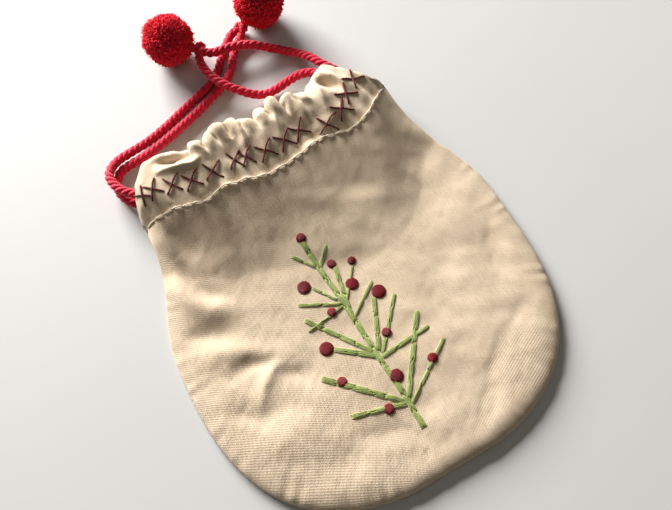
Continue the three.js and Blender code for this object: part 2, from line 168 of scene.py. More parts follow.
def even(points, step):
    """The line resampled at even steps along its length."""
    points = np.asarray(points, float)
    run = run_of(points)
    count = max(2, int(round(run[-1] / step)) + 1)
    return resampled(points, run, np.linspace(0, run[-1], count))


def even_count(points, count):
    """The line resampled at a number of even steps."""
    run = run_of(points)
    return resampled(points, run, np.linspace(0, run[-1], count))


def even_run(points):
    """How far each point is along a line that even has resampled."""
    return np.linspace(0, 1, len(points)) * run_of(points)[-1]


def ripples(x, y, wavelength, seed, waves=28):
    """Smooth random unevenness of about one wavelength, close to -1 to 1."""
    random = np.random.default_rng(seed)
    total = np.zeros_like(x)
    for _ in range(waves):
        angle = random.uniform(0, 2 * math.pi)
        number = 2 * math.pi / (wavelength * random.uniform(0.7, 1.6))
        phase = random.uniform(0, 2 * math.pi)
        total += np.sin(number * (x * math.cos(angle) + y * math.sin(angle)) + phase)
    return total / math.sqrt(waves)


# ------ mesh helpers
def mesh_object(name, vertices, quads, triangles=None, uv=None):
    """A smooth-shaded mesh object in the row frame. uv is one pair for each vertex."""
    sets = [np.asarray(quads, np.int32).reshape(-1, 4)]
    if triangles is not None and len(triangles):
        sets.append(np.asarray(triangles, np.int32).reshape(-1, 3))
    corners = np.concatenate([faces.ravel() for faces in sets])
    sizes = np.concatenate([np.full(len(faces), faces.shape[1], np.int32) for faces in sets])
    mesh = bpy.data.meshes.new(name)
    mesh.vertices.add(len(vertices))
    mesh.vertices.foreach_set("co", np.asarray(vertices, np.float32).ravel())
    mesh.loops.add(len(corners))
    mesh.loops.foreach_set("vertex_index", corners)
    mesh.polygons.add(len(sizes))
    starts = np.concatenate([[0], np.cumsum(sizes)[:-1]]).astype(np.int32)
    mesh.polygons.foreach_set("loop_start", starts)
    mesh.polygons.foreach_set("use_smooth", np.ones(len(sizes), bool))
    if uv is not None:
        layer = mesh.uv_layers.new(name="cloth")
        layer.data.foreach_set("uv", np.asarray(uv, np.float32)[corners].ravel())
    mesh.update(calc_edges=True)
    obj = bpy.data.objects.new(name, mesh)
    bpy.context.collection.objects.link(obj)
    return obj


def grid_quads(rows, columns, first=0):
    index = first + np.arange(rows * columns).reshape(rows, columns)
    corners = [index[:-1, :-1], index[:-1, 1:], index[1:, 1:], index[1:, :-1]]
    return np.stack(corners, -1).reshape(-1, 4)


def grid_normals(points):
    across = np.gradient(points, axis=1)
    along = np.gradient(points, axis=0)
    return unit(np.cross(across, along))


def cloth_length(points):
    """How far each grid point is along its row and its column."""
    across = run_of(points)
    across = across - across[:, across.shape[1] // 2][:, None]
    along = run_of(points.swapaxes(0, 1)).T
    return np.stack([across, along], -1)


def cloth_object(name, points, thickness, flip=False):
    """A grid of points as a layer of cloth with thickness, closed round its border."""
    rows, columns = points.shape[:2]
    normals = grid_normals(points) * (-1 if flip else 1)
    inner = points - normals * thickness
    uv = cloth_length(points).reshape(-1, 2)
    count = rows * columns
    outer_quads = grid_quads(rows, columns)
    inner_quads = grid_quads(rows, columns, count)[:, ::-1]
    index = np.arange(count).reshape(rows, columns)
    border = np.concatenate([index[0, :], index[1:, -1], index[-1, -2::-1], index[-2:0:-1, 0]])
    after = np.roll(border, -1)
    rim = np.stack([border, border + count, after + count, after], -1)
    quads = np.concatenate([outer_quads, inner_quads, rim])
    if flip:
        quads = quads[:, ::-1]
    vertices = np.concatenate([points.reshape(-1, 3), inner.reshape(-1, 3)])
    return mesh_object(name, vertices, quads, uv=np.concatenate([uv, uv]))


TIP_LENGTH = 0.6  # how far a thread's tip stands out, in radii


def strands(name, paths, radii, sides=6, up=(0, 0, 1)):
    """Many round threads in one mesh. paths has one row of points for each thread."""
    paths = np.asarray(paths, float)
    threads, steps = paths.shape[:2]
    radii = np.broadcast_to(np.asarray(radii, float), (threads, steps))
    along = unit(np.gradient(paths, axis=1))
    side = unit(np.cross(along, np.broadcast_to(np.asarray(up, float), paths.shape)))
    lift = np.cross(side, along)
    turn = 2 * math.pi * np.arange(sides) / sides
    ring = np.cos(turn)[:, None] * side[:, :, None, :] + np.sin(turn)[:, None] * lift[:, :, None, :]
    tubes = paths[:, :, None, :] + ring * radii[:, :, None, None]
    tips = np.stack([paths[:, 0] - along[:, 0] * radii[:, :1] * TIP_LENGTH,
                     paths[:, -1] + along[:, -1] * radii[:, -1:] * TIP_LENGTH], 1)
    vertices = np.concatenate([tubes.reshape(threads, -1, 3), tips], 1)
    per_thread = steps * sides + 2
    ring_index = np.arange(steps * sides).reshape(steps, sides)
    ahead = np.roll(ring_index, -1, axis=1)
    quads = np.stack([ring_index[:-1], ahead[:-1], ahead[1:], ring_index[1:]], -1).reshape(-1, 4)
    start = np.stack([ahead[0], ring_index[0], np.full(sides, steps * sides)], -1)
    end = np.stack([ring_index[-1], ahead[-1], np.full(sides, steps * sides + 1)], -1)
    caps = np.concatenate([start, end])
    offsets = (np.arange(threads) * per_thread)[:, None, None]
    run = run_of(paths)
    across = np.broadcast_to(turn / (2 * math.pi), (threads, steps, sides))
    uv = np.stack([np.broadcast_to(run[:, :, None], (threads, steps, sides)), across], -1)
    tip_uv = np.stack([np.stack([run[:, 0], run[:, -1]], 1), np.zeros((threads, 2))], -1)
    uv = np.concatenate([uv.reshape(threads, -1, 2), tip_uv], 1).reshape(-1, 2)
    return mesh_object(name, vertices.reshape(-1, 3), quads + offsets, caps + offsets, uv)


def side_for(line):
    """A direction square to the line that never turns suddenly."""
    along = unit(np.gradient(line, axis=0))
    side = np.zeros_like(along)
    side[0] = unit(np.cross(along[0], (0.3, 0.2, 1)))
    for i in range(1, len(along)):
        side[i] = unit(side[i - 1] - along[i] * np.dot(side[i - 1], along[i]))
    return side


def rope_paths(line, radius, lay, plies=3):
    """The middle lines of the plies of a twisted rope round a line."""
    line = np.asarray(line, float)
    along = unit(np.gradient(line, axis=0))
    side = side_for(line)
    lift = np.cross(along, side)
    run = run_of(line)
    paths = []
    for ply in range(plies):
        angle = 2 * math.pi * (ply / plies - run / lay)
        offset = radius * (np.cos(angle)[:, None] * side + np.sin(angle)[:, None] * lift)
        paths.append(line + offset)
    return np.array(paths)


# ------ materials
def node(tree, kind, inputs=(), **settings):
    made = tree.nodes.new("ShaderNode" + kind)
    for key, value in settings.items():
        setattr(made, key, value)
    for key, value in dict(inputs).items():
        if isinstance(value, bpy.types.NodeSocket):
            tree.links.new(value, made.inputs[key])
        else:
            made.inputs[key].default_value = value
    return made


def math_node(tree, operation, a, b=0.0):
    return node(tree, "Math", {0: a, 1: b}, operation=operation).outputs[0]


def scaled(tree, vector, scale):
    return node(tree, "Mapping", {"Vector": vector, "Scale": scale}).outputs[0]


def noise(tree, vector, scale, detail=2.0, rough=0.5):
    inputs = {"Vector": vector, "Scale": scale, "Detail": detail, "Roughness": rough}
    return node(tree, "TexNoise", inputs).outputs["Fac"]


def ramp(tree, value, stops):
    made = node(tree, "ValToRGB", {0: value})
    elements = made.color_ramp.elements
    while len(elements) < len(stops):
        elements.new(0.5)
    for element, (place, colour) in zip(elements, stops):
        element.position = place
        element.color = (*colour, 1)
    return made.outputs[0]


def weighted(tree, *parts):
    """The sum of some values, each times its own weight."""
    total = None
    for value, weight in parts:
        term = math_node(tree, "MULTIPLY", value, weight)
        total = term if total is None else math_node(tree, "ADD", total, term)
    return total


def surface(name, build):
    """A material whose colour, roughness and bump come from build(tree)."""
    material = bpy.data.materials.new(name)
    material.use_nodes = True
    tree = material.node_tree
    tree.nodes.clear()
    parts = build(tree)
    shader = node(tree, "BsdfPrincipled", parts)
    output = node(tree, "OutputMaterial")
    tree.links.new(shader.outputs[0], output.inputs[0])
    return material


WEAVE_PITCH = 0.45 * MM
SLUB_STRETCH = (2600, 180, 1)  # noise scale across and along a thick thread


def canvas_nodes(tree):
    """Plain weave with thicker threads here and there, flecks and soft clouds."""
    uv = node(tree, "TexCoord").outputs["UV"]
    wobble = noise(tree, uv, 900.0, 1.0)
    parts = node(tree, "SeparateXYZ", {0: uv})
    warp = weighted(tree, (parts.outputs[0], math.pi / WEAVE_PITCH), (wobble, 1.6))
    weft = weighted(tree, (parts.outputs[1], math.pi / WEAVE_PITCH), (wobble, 1.6))
    over = math_node(tree, "MULTIPLY", math_node(tree, "SINE", warp), math_node(tree, "SINE", weft))
    across, along, level = SLUB_STRETCH
    slub_warp = noise(tree, scaled(tree, uv, (across, along, level)), 1.0, 2.0)
    slub_weft = noise(tree, scaled(tree, uv, (along, across, level)), 1.0, 2.0)
    slub = math_node(tree, "ADD", slub_warp, slub_weft)
    fleck = noise(tree, uv, 1900.0, 2.0, 0.6)
    cloud = noise(tree, uv, 38.0, 3.0)
    tone = weighted(tree, (slub, 0.30), (over, 0.07), (fleck, 0.26), (cloud, 0.10))
    colour = ramp(tree, tone, [
        (0.28, (0.41, 0.30, 0.19)), (0.45, (0.59, 0.46, 0.325)),
        (0.58, (0.68, 0.555, 0.41)), (0.75, (0.80, 0.69, 0.535)),
    ])
    height = weighted(tree, (over, 0.5), (slub, 0.9))
    bump = node(tree, "Bump", {"Strength": 0.55, "Distance": 0.00016, "Height": height})
    return {"Base Color": colour, "Roughness": 0.93, "Specular IOR Level": 0.12,
            "Sheen Weight": 0.18, "Sheen Roughness": 0.6, "Normal": bump.outputs[0]}


FIBRES = 3.0  # fibres seen round a thread


def yarn(name, dark, light, twist, roughness, sheen):
    """Twisted yarn: fine fibres slanting round each thread."""
    def build(tree):
        uv = node(tree, "TexCoord").outputs["UV"]
        place = node(tree, "TexCoord").outputs["Object"]
        parts = node(tree, "SeparateXYZ", {0: uv})
        slant = weighted(tree, (parts.outputs[0], 2 * math.pi / twist), (parts.outputs[1], 2 * math.pi))
        fibre = math_node(tree, "SINE", math_node(tree, "MULTIPLY", slant, FIBRES))
        fine = noise(tree, place, 2400.0, 2.0, 0.6)
        patch = noise(tree, place, 260.0)
        tone = weighted(tree, (fine, 0.55), (patch, 0.35), (fibre, 0.06))
        colour = ramp(tree, tone, [(0.25, dark), (0.7, light)])
        height = weighted(tree, (fibre, 0.5), (fine, 1.0))
        bump = node(tree, "Bump", {"Strength": 0.6, "Distance": 0.0001, "Height": height})
        return {"Base Color": colour, "Roughness": roughness, "Specular IOR Level": 0.3,
                "Sheen Weight": sheen, "Sheen Roughness": 0.4, "Normal": bump.outputs[0]}
    return surface(name, build)


# Each yarn's dark and light colour, length of a twist, roughness and sheen.
YARNS = {
    "cream_thread": ((0.72, 0.62, 0.47), (0.92, 0.87, 0.75), 0.9 * MM, 0.7, 0.2),
    "cord_yarn": ((0.32, 0.003, 0.018), (0.88, 0.010, 0.062), 3.5 * MM, 0.75, 0.3),
    "pompom_yarn": ((0.66, 0.003, 0.018), (0.98, 0.010, 0.055), 2 * MM, 0.9, 0.22),
    "stitch_thread": ((0.05, 0.002, 0.004), (0.20, 0.008, 0.014), 1.6 * MM, 0.6, 0.1),
    "green_thread": ((0.13, 0.175, 0.035), (0.52, 0.60, 0.21), 1.2 * MM, 0.45, 0.1),
    "berry_thread": ((0.06, 0.001, 0.003), (0.34, 0.005, 0.012), 1.2 * MM, 0.45, 0.08),
}
MATERIALS = {slot: yarn(slot, *look) for slot, look in YARNS.items()}
MATERIALS["canvas"] = surface("canvas", canvas_nodes)


def finish_piece(obj, slot, body=None, replaced=None):
    obj.data.materials.append(MATERIALS[slot])
    if body:
        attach(obj, body)
    if replaced:
        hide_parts(replaced)
    return obj


def canvas_piece(name, points, thickness, body, replaced, flip=False):
    return finish_piece(cloth_object(name, points, thickness, flip), "canvas", body, replaced)


def thread_piece(name, paths, radius, slot, body, replaced):
    return finish_piece(strands(name, paths, radius), slot, body, replaced)


# ------ cords, knots and pom-poms
ROPE_LAY = 8.4 * MM
PLY_RADIUS = 1.1 * MM
PLY_OFFSET = 0.98 * MM
ROPE_STEP = 0.6 * MM
KNOT_SIZE = 0.78 * MM
KNOT_LIFT = 0.25 * MM  # keeps the knot off the floor
KNOT_LAY = 6 * MM
KNOT_PLY_OFFSET = 0.6 * MM
KNOT_PLY_RADIUS = 0.75 * MM
TUFTS = 3000
FIBRE_ENDS = 3600


def rope(name, line):
    dense = even(spline(line, np.linspace(0, 1, 40 * len(line))), ROPE_STEP)
    paths = rope_paths(dense, PLY_OFFSET, ROPE_LAY)
    return strands(name, paths, PLY_RADIUS, sides=10, up=side_for(dense)), dense


def knot(name, middle, towards, body):
    """An overhand knot with its axis along the cord."""
    turn = np.linspace(0, 2 * math.pi, 140)
    local = KNOT_SIZE * np.stack([
        np.sin(turn) + 2 * np.sin(2 * turn), np.cos(turn) - 2 * np.cos(2 * turn),
        -1.5 * np.sin(3 * turn),
    ], 1)
    facing = unit(np.asarray(towards, float) - middle)
    side = unit(np.cross(facing, (0, 0, 1)))
    lift = np.cross(side, facing)
    line = middle + local @ np.stack([side, lift, facing]) + (0, 0, KNOT_LIFT)
    paths = rope_paths(line, KNOT_PLY_OFFSET, KNOT_LAY)
    obj = strands(name + "_tied", paths, KNOT_PLY_RADIUS, sides=8, up=side_for(line))
    return finish_piece(obj, "cord_yarn", body, name)


def sphere_directions(count, seed):
    random = np.random.default_rng(seed)
    index = np.arange(count) + 0.5
    z = 1 - 2 * index / count
    angle = math.pi * (1 + math.sqrt(5)) * index
    flat = np.sqrt(1 - z * z)
    directions = np.stack([flat * np.cos(angle), flat * np.sin(angle), z], 1)
    return unit(directions + random.normal(0, 0.035, directions.shape)), random


def radial_threads(name, middle, seed, count, steps, reach, lean, radii, sides):
    """Threads that stand out of a ball, each leaning its own way."""
    directions, random = sphere_directions(count, seed)
    lumps = 1 + 0.035 * ripples(directions[:, 0], directions[:, 1] + directions[:, 2], 0.8, seed)
    out = lumps * random.uniform(*reach, count)
    steps = np.asarray(steps)
    way_out = (steps - steps[0]) / (steps[-1] - steps[0])
    bend = random.normal(0, lean, (count, 1, 3)) * way_out[:, None]
    paths = middle + directions[:, None] * (out[:, None] * steps)[..., None] + bend
    radii = np.asarray(radii) * random.uniform(0.8, 1.2, (count, 1))
    paths[:, :, 2] = np.maximum(paths[:, :, 2], radii.max())
    return strands(name, paths, radii, sides, up=random.normal(0, 1, (count, 1, 3)))


def pompom(name, middle, radius, seed):
    """Clipped yarn ends standing out of a dense middle, with finer loose fibres over them."""
    tufts = radial_threads(name + "_tufts", middle, seed, TUFTS, [0.55, 0.8, 0.93, 1.0],
                           (0.93 * radius, 0.99 * radius), 0.04 * radius,
                           MM * np.array([0.45, 0.52, 0.5, 0.34]), 5)
    finish_piece(tufts, "pompom_yarn", name, name)
    fuzz = radial_threads(name + "_fuzz", middle, seed + 1, FIBRE_ENDS, [0.85, 0.95, 1.0],
                          (0.98 * radius, 1.04 * radius), 0.05 * radius,
                          MM * np.array([0.1, 0.09, 0.04]), 3)
    finish_piece(fuzz, "pompom_yarn", name)
    return [tufts, fuzz]


def centre(name):
    low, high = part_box(name)
    return np.array((low + high) / 2)


def make_cords():
    ends = {}
    for cord, seed in (("left_cord", 11), ("right_cord", 23)):
        tied, ball = centre(f"{cord}_knot"), centre(f"{cord}_pompom")
        low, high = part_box(f"{cord}_pompom")
        neck_line = [tied + (ball - tied) * share for share in (0, 0.4, 0.7)]
        neck, _ = rope(f"{cord}_neck", neck_line)
        finish_piece(neck, "cord_yarn", f"{cord}_pompom")
        pieces = [knot(f"{cord}_knot", tied, ball, cord), neck]
        ends[cord] = pieces + pompom(f"{cord}_pompom", ball, (high.x - low.x) / 2, seed)
    for name, body, length, points in TAILS:
        # Rounded to a micrometre, which takes off the small error of the product.
        route = [tuple(round(MM * value, 6) for value in point) for point in points]
        tied = centre(f"{body}_knot")
        obj, dense = rope(name + "_rope", route + [tuple(tied)])
        finish_piece(obj, "cord_yarn", body, name)
        with_pieces = ends.pop(body, [])


make_cords()

# ------ shape of the body
HALF_WIDTH = 75 * MM
BOTTOM_Y = -88 * MM
WIDEST_Y = -15 * MM
ROUND_POWER = 2.6
BOTTOM_ROUND = 73.6 * MM
NECK_RUN = 70 * MM
SEWN_EDGE_Z = 0.95 * MM
PANEL_LENGTH = 140  # from the bottom to the hem
LOW_LEVEL = [(0, 3.6), (0.3, 3.7), (0.6, 3.6), (1, 3.2)]
HEM_LEVEL = 14
# How far below the hem the front comes down to its low level, from left to right.
SLOPE_RUN = [(-62, 22), (-50, 29), (-30, 37), (-8, 42), (12, 54), (28, 52), (44, 42), (58, 30)]
DOME_REACH = [(0, 10), (0.6, 14), (0.8, 20), (1, 32)]
DOME_POWER = 2.5
SLOPE_POWER = 1.3
FOLDS_START = 11 * MM  # the folds have their full height this far in from the edge
PUCKER_DEPTH = 0.25 * MM
HEM_GROOVE = 0.2 * MM
HEM_GROOVE_WIDTH = 1.2 * MM
GATHER_HEIGHT = 0.4 * MM
GATHER_REACH = 6 * MM
CLOTH = 0.7 * MM

BAND_HEM = MM * np.array([
    (-62, 54.5), (-48, 54), (-34, 50.5), (-20, 51.5), (-8, 49.8), (6, 51),
    (19, 53.5), (31, 50.2), (41, 53.6), (50, 59), (58, 63.5),
])
BAND_TOP = MM * np.array([
    (-61, 71), (-52, 80.5), (-38, 82), (-24, 80), (-10, 81), (4, 80),
    (16, 81), (26, 80.5), (33, 84.5), (38.5, 87.6), (44, 88),
])
# How far the stitched line wanders from the hem, as shares of the band.
HEM_WANDER = [
    (0, -0.05), (0.1, -0.04), (0.2, -0.03), (0.25, 0.03), (0.3, -0.03), (0.45, -0.06),
    (0.6, -0.05), (0.7, -0.01), (0.8, -0.03), (0.95, 0.0), (1, 0.02),
]
# How high the gathered top edge stands, as shares of the band.
TOP_EDGE = [
    (0, 0.42), (0.02, 0.66), (0.05, 0.81), (0.12, 0.89), (0.19, 0.86), (0.225, 0.76),
    (0.262, 0.83), (0.285, 0.80), (0.312, 0.88), (0.326, 0.86), (0.346, 0.99), (0.37, 0.89),
    (0.392, 0.93), (0.42, 0.87), (0.45, 0.82), (0.48, 0.88), (0.505, 0.85), (0.533, 0.99),
    (0.562, 0.78), (0.592, 0.91), (0.615, 0.87), (0.637, 0.78), (0.655, 0.80), (0.70, 0.91),
    (0.75, 0.94), (0.85, 0.93), (0.89, 0.85), (0.915, 0.74), (0.94, 0.52), (0.965, 0.27), (1, 0.03),
]


def half_width(y, side):
    drop = np.clip((WIDEST_Y - y) / BOTTOM_ROUND, 0, 1)
    lower = HALF_WIDTH * (1 - drop ** ROUND_POWER) ** (1 / ROUND_POWER)
    rise = np.maximum(0, (y - WIDEST_Y) / NECK_RUN)
    upper = HALF_WIDTH - MM * np.where(side < 0, 14 * rise ** 2, 10 * rise ** 2.4)
    return np.where(y < WIDEST_Y, lower, upper)


def hem_point(along):
    hem = spline(BAND_HEM, along)
    top = spline(BAND_TOP, along)
    return hem + (top - hem) * eased(HEM_WANDER, along)[..., None]


def band_point(along, share):
    """A place on the front band: share 0 on the stitched line, 1 on the top curve."""
    hem = hem_point(along)
    return hem + (spline(BAND_TOP, along) - hem) * share[..., None]


def body_point(side, rise):
    hem = hem_point((side + 1) / 2)
    y = BOTTOM_Y + (hem[..., 1] - BOTTOM_Y) * rise
    across = side * half_width(y, side)
    x = across + (hem[..., 0] - across) * smooth(rise, 0.6, 1)
    return x, y


def edge_distance(x, y):
    gap_x = np.maximum(0, half_width(y, x) - np.abs(x))
    across = np.minimum(1, np.abs(x) / HALF_WIDTH)
    edge_y = WIDEST_Y - BOTTOM_ROUND * (1 - across ** ROUND_POWER) ** (1 / ROUND_POWER)
    gap_y = np.maximum(0, y - np.maximum(BOTTOM_Y, edge_y))
    return gap_x * gap_y / np.maximum(np.hypot(gap_x, gap_y), 1e-9)


# Folds of the front as lines: width, height and points, all in millimetres.
# A ridge has a positive height and a valley a negative one.
FOLDS = [
    (3.0, 1.3, (-60, 50), (-58, 44), (-56, 35)),
    (5.0, -1.5, (-55, 46), (-51, 38), (-46, 33)),
    (5.6, 2.0, (-68, 27), (-61, 19), (-54, 12), (-46, 8)),
    (3.4, -1.3, (-58, 33), (-53, 22), (-47, 13)),
    (4.6, -1.4, (-70, 5), (-60, 2), (-49, -4)),
    (4.6, 1.2, (-66, -6), (-52, -11), (-37, -16)),
    (3.6, -1.0, (-57, -20), (-48, -18), (-40, -20)),
    (2.4, 0.9, (-54, -33), (-46, -28), (-37, -20)),
    (3.2, -0.7, (-40, -27), (-34, -30), (-30, -34)),
    (3.8, -0.8, (-68, -31), (-57, -36), (-46, -38)),
    (6.5, 0.5, (-62, -45), (-46, -47), (-34, -53)),
    (2.4, -0.35, (27, -20), (27, -30), (29, -40)),
    (3.0, -0.35, (12, -84), (26, -70), (44, -55), (59, -44)),
    (3.6, 0.2, (20, -84), (34, -72), (50, -60)),
    (6.0, -1.0, (16, 48), (19, 36), (28, 24)),
    (5.5, 0.7, (38, 47), (40, 34), (45, 20)),
    (5.0, -1.1, (52, 50), (53, 36), (50, 22)),
    (3.4, 0.9, (62, 46), (65, 32), (67, 16)),
    (5.0, 0.5, (-30, 46), (-28, 36), (-22, 26)),
    (5.0, -0.6, (-10, 46), (-10, 34), (-8, 26)),
    (7.0, 0.35, (42, 14), (46, -6), (50, -30)),
    (5.0, -0.3, (34, 10), (37, -8), (40, -28)),
    (4.0, -0.5, (-26, -62), (-10, -70), (6, -80)),
    (5.0, -0.5, (66, -4), (62, -18), (60, -32)),
]
# Broad hollows and swellings: middle, reach along x and y, and height.
HOLLOWS = [
    (-40, -50, 22, 14, 0.6), (-56, 26, 12, 10, 0.7), (-10, -62, 26, 12, -0.5),
]


def stroke_distance(x, y, points):
    """Distance to a broken line and the share of the way along it, for many places."""
    points = np.asarray(points, float)
    runs = np.linalg.norm(np.diff(points, axis=0), axis=1)
    total, before = runs.sum(), 0.0
    best = np.full(x.shape, np.inf)
    share = np.zeros(x.shape)
    for start, end, run in zip(points[:-1], points[1:], runs):
        step = (end - start) / run
        local = np.clip((x - start[0]) * step[0] + (y - start[1]) * step[1], 0, run)
        gap = np.hypot(x - start[0] - local * step[0], y - start[1] - local * step[1])
        nearer = gap < best
        best = np.where(nearer, gap, best)
        share = np.where(nearer, (before + local) / total, share)
        before += run
    return best, share


def folds_at(x, y):
    """Height of the folds and hollows, for places in metres."""
    px, py = x / MM, y / MM
    bend_x = px + 1.6 * ripples(px, py, 34, 5)
    bend_y = py + 1.6 * ripples(px, py, 34, 6)
    total = np.zeros_like(px)
    for width, height, *points in FOLDS:
        gap, share = stroke_distance(bend_x, bend_y, points)
        taper = np.sin(math.pi * np.clip(0.12 + 0.76 * share, 0, 1))
        total += height * taper * np.exp(-((gap / width) ** 2))
    for cx, cy, rx, ry, height in HOLLOWS:
        total += height * np.exp(-(((bend_x - cx) / rx) ** 2) - ((bend_y - cy) / ry) ** 2)
    total += 0.26 * ripples(px, py, 30, 1) + 0.12 * ripples(px, py, 13, 2)
    total += 0.04 * ripples(px, py, 5, 3)
    return total * MM


def front_height(x, y, rise):
    reach = np.minimum(1, edge_distance(x, y) / (MM * table(DOME_REACH, rise)))
    rounding = (1 - (1 - reach) ** DOME_POWER) ** (1 / DOME_POWER)
    run = table(SLOPE_RUN, x / MM)
    from_hem = (1 - rise) * PANEL_LENGTH
    slope = np.clip(1 - from_hem / run, 0, 1) ** SLOPE_POWER
    low = table(LOW_LEVEL, rise)
    dome = MM * (low + (HEM_LEVEL - low) * slope) * rounding
    inside = smooth(edge_distance(x, y), 0, FOLDS_START)
    return dome + folds_at(x, y) * inside


def pucker(x, y, depth):
    """Small gathers across the seam, which fade away from it."""
    around = np.arctan2(y + 10 * MM, x) * 70
    gap = edge_distance(x, y)
    wave = np.sin(around * 0.9 + 2.0 * np.sin(around * 0.23)) * (0.6 + 0.4 * np.sin(around * 0.37))
    return depth * wave * np.exp(-gap / (5 * MM)) * smooth(gap, 0, 1.2 * MM)


PANEL_COLUMNS = 200
PANEL_ROWS = 180
PANEL_SPREAD = np.linspace(-1, 1, PANEL_COLUMNS)
PANEL_SIDES = 0.55 * PANEL_SPREAD + 0.45 * np.sin(PANEL_SPREAD * math.pi / 2)


def front_panel_points():
    side, rise = np.meshgrid(PANEL_SIDES, np.linspace(0, 1, PANEL_ROWS) ** 1.2)
    x, y = body_point(side, rise)
    z = SEWN_EDGE_Z + front_height(x, y, rise)
    z += pucker(x, y, PUCKER_DEPTH)
    from_hem = (1 - rise) * PANEL_LENGTH * MM
    gathers = hem_gathers((side + 1) / 2, from_hem)
    groove = HEM_GROOVE * bell(from_hem, 0, HEM_GROOVE_WIDTH) * smooth(z, 3 * MM, 8 * MM)
    z += gathers - groove
    z = np.maximum(z, SEWN_EDGE_Z)
    return np.stack([x, y, z], -1)


# Where the gathers at the hem crest, as shares of the band.
GATHERS = [
    0.05, 0.1, 0.16, 0.215, 0.27, 0.33, 0.385, 0.44, 0.5, 0.56, 0.62, 0.67, 0.74, 0.8, 0.87, 0.93,
]


def hem_gathers(along, from_hem):
    """A wave with one crest at each gather, which fades away from the hem."""
    wave = np.cos(2 * math.pi * np.interp(along, GATHERS, np.arange(len(GATHERS))))
    strength = np.interp(along, [0, 0.06, 0.94, 1], [0, 1, 1, 0])
    return GATHER_HEIGHT * wave * strength * np.exp(-from_hem / GATHER_REACH)


FRONT_POINTS = front_panel_points()


ABOVE_ALL = 0.1  # a height over every surface, in metres


def surface_tree(points):
    rows, columns = points.shape[:2]
    return BVHTree.FromPolygons(points.reshape(-1, 3).tolist(), grid_quads(rows, columns).tolist())


def lay_on(trees, x, y, lift):
    """Points set from above on the highest of some surfaces, raised by lift."""
    placed = []
    for px, py, up in np.broadcast(x, y, lift):
        above = Vector((px, py, ABOVE_ALL))
        hits = [tree.ray_cast(above, Vector((0, 0, -1)))[0] for tree in trees]
        placed.append((px, py, max([hit.z for hit in hits if hit] or [0]) + up))
    return np.array(placed).reshape(*np.broadcast(x, y, lift).shape, 3)


# ------ the gathered front band
# Section of the front band from its stitched line over the top and back down inside:
# share of the way to the top edge, and z.
FRONT_SECTION = [
    (-0.03, 13.8), (0.0, 14.4), (0.05, 15.0), (0.14, 16.2), (0.28, 17.5), (0.42, 18.3),
    (0.56, 19.0), (0.66, 19.2), (0.74, 18.9), (0.83, 18.0), (0.92, 16.4), (0.98, 14.6),
    (1.0, 13.2), (0.97, 12.2), (0.88, 11.7), (0.7, 11.6), (0.5, 11.6), (0.3, 11.8), (0.12, 12.4),
]
# Where the ruffles at the top crest, as shares of the band.
RUFFLE_CRESTS = [
    0.02, 0.09, 0.165, 0.215, 0.26, 0.305, 0.346, 0.392, 0.436, 0.48, 0.533, 0.592, 0.64,
    0.70, 0.78, 0.87, 0.95,
]
# Folds of the band's face: width as a share along, height, points as shares along and up.
BAND_FOLDS = [
    (0.012, 1.5, (0.405, 0.78), (0.395, 0.55), (0.385, 0.34)),
    (0.028, -1.6, (0.355, 0.66), (0.355, 0.3)),
    (0.036, -2.1, (0.55, 0.75), (0.555, 0.4), (0.56, 0.0)),
    (0.014, 0.9, (0.51, 0.75), (0.505, 0.4)),
    (0.012, 1.3, (0.605, 0.72), (0.60, 0.35)),
    (0.020, -3.6, (0.14, 0.84), (0.18, 0.78), (0.22, 0.80)),
    (0.014, 1.8, (0.13, 0.66), (0.19, 0.60), (0.24, 0.62)),
    (0.022, -3.6, (0.74, 0.86), (0.775, 0.74), (0.80, 0.60)),
    (0.018, 1.4, (0.80, 0.88), (0.83, 0.74), (0.84, 0.55)),
    (0.020, 1.6, (0.72, 0.85), (0.70, 0.60), (0.69, 0.45)),
    (0.035, 1.3, (0.84, 0.7), (0.85, 0.5), (0.85, 0.25)),
    (0.016, -1.0, (0.27, 0.7), (0.275, 0.4), (0.26, 0.1)),
    (0.03, 1.2, (0.07, 0.7), (0.08, 0.4), (0.09, 0.1)),
    (0.014, -1.2, (0.655, 0.7), (0.66, 0.3)),
    (0.016, 0.6, (0.45, 0.7), (0.452, 0.3)),
]


def hem_level_at(along):
    """Height of the front panel's upper edge."""
    level = FRONT_POINTS[-1]
    return np.interp(along, (PANEL_SIDES + 1) / 2, level[:, 2])


def band_folds(along, up):
    """Folds of the band's face, in metres. A unit along the band is worth 4 across it."""
    total = np.zeros(np.broadcast(along, up).shape)
    for width, height, *points in BAND_FOLDS:
        gap, share = stroke_distance(along * 4 + up * 0, up, [(u * 4, v) for u, v in points])
        taper = np.sin(math.pi * np.clip(0.15 + 0.7 * share, 0, 1))
        total += height * MM * taper * np.exp(-((gap / (4 * width)) ** 2))
    return total


CLOSED_END_Z = 2.4 * MM
FLAT_LEVEL = 14.4  # the face comes down towards this at the two ends
BAND_LEVEL = 14.6  # the panel's upper edge that the section is drawn for
MIDDLE_DIP = 1.5 * MM
BAND_HEIGHT = 30 * MM
RUFFLE = (0.5, 3.3)  # height of the ruffles everywhere, and more in the middle
RUFFLE_LEAN = 1.1


def closing(along):
    """1 along the band, falling to 0 where its ends come down to the side seams."""
    gap = np.clip(np.minimum(along / 0.07, (1 - along) / 0.1), 0, 1)
    return (1 - (1 - gap) ** 2.5) ** 0.4


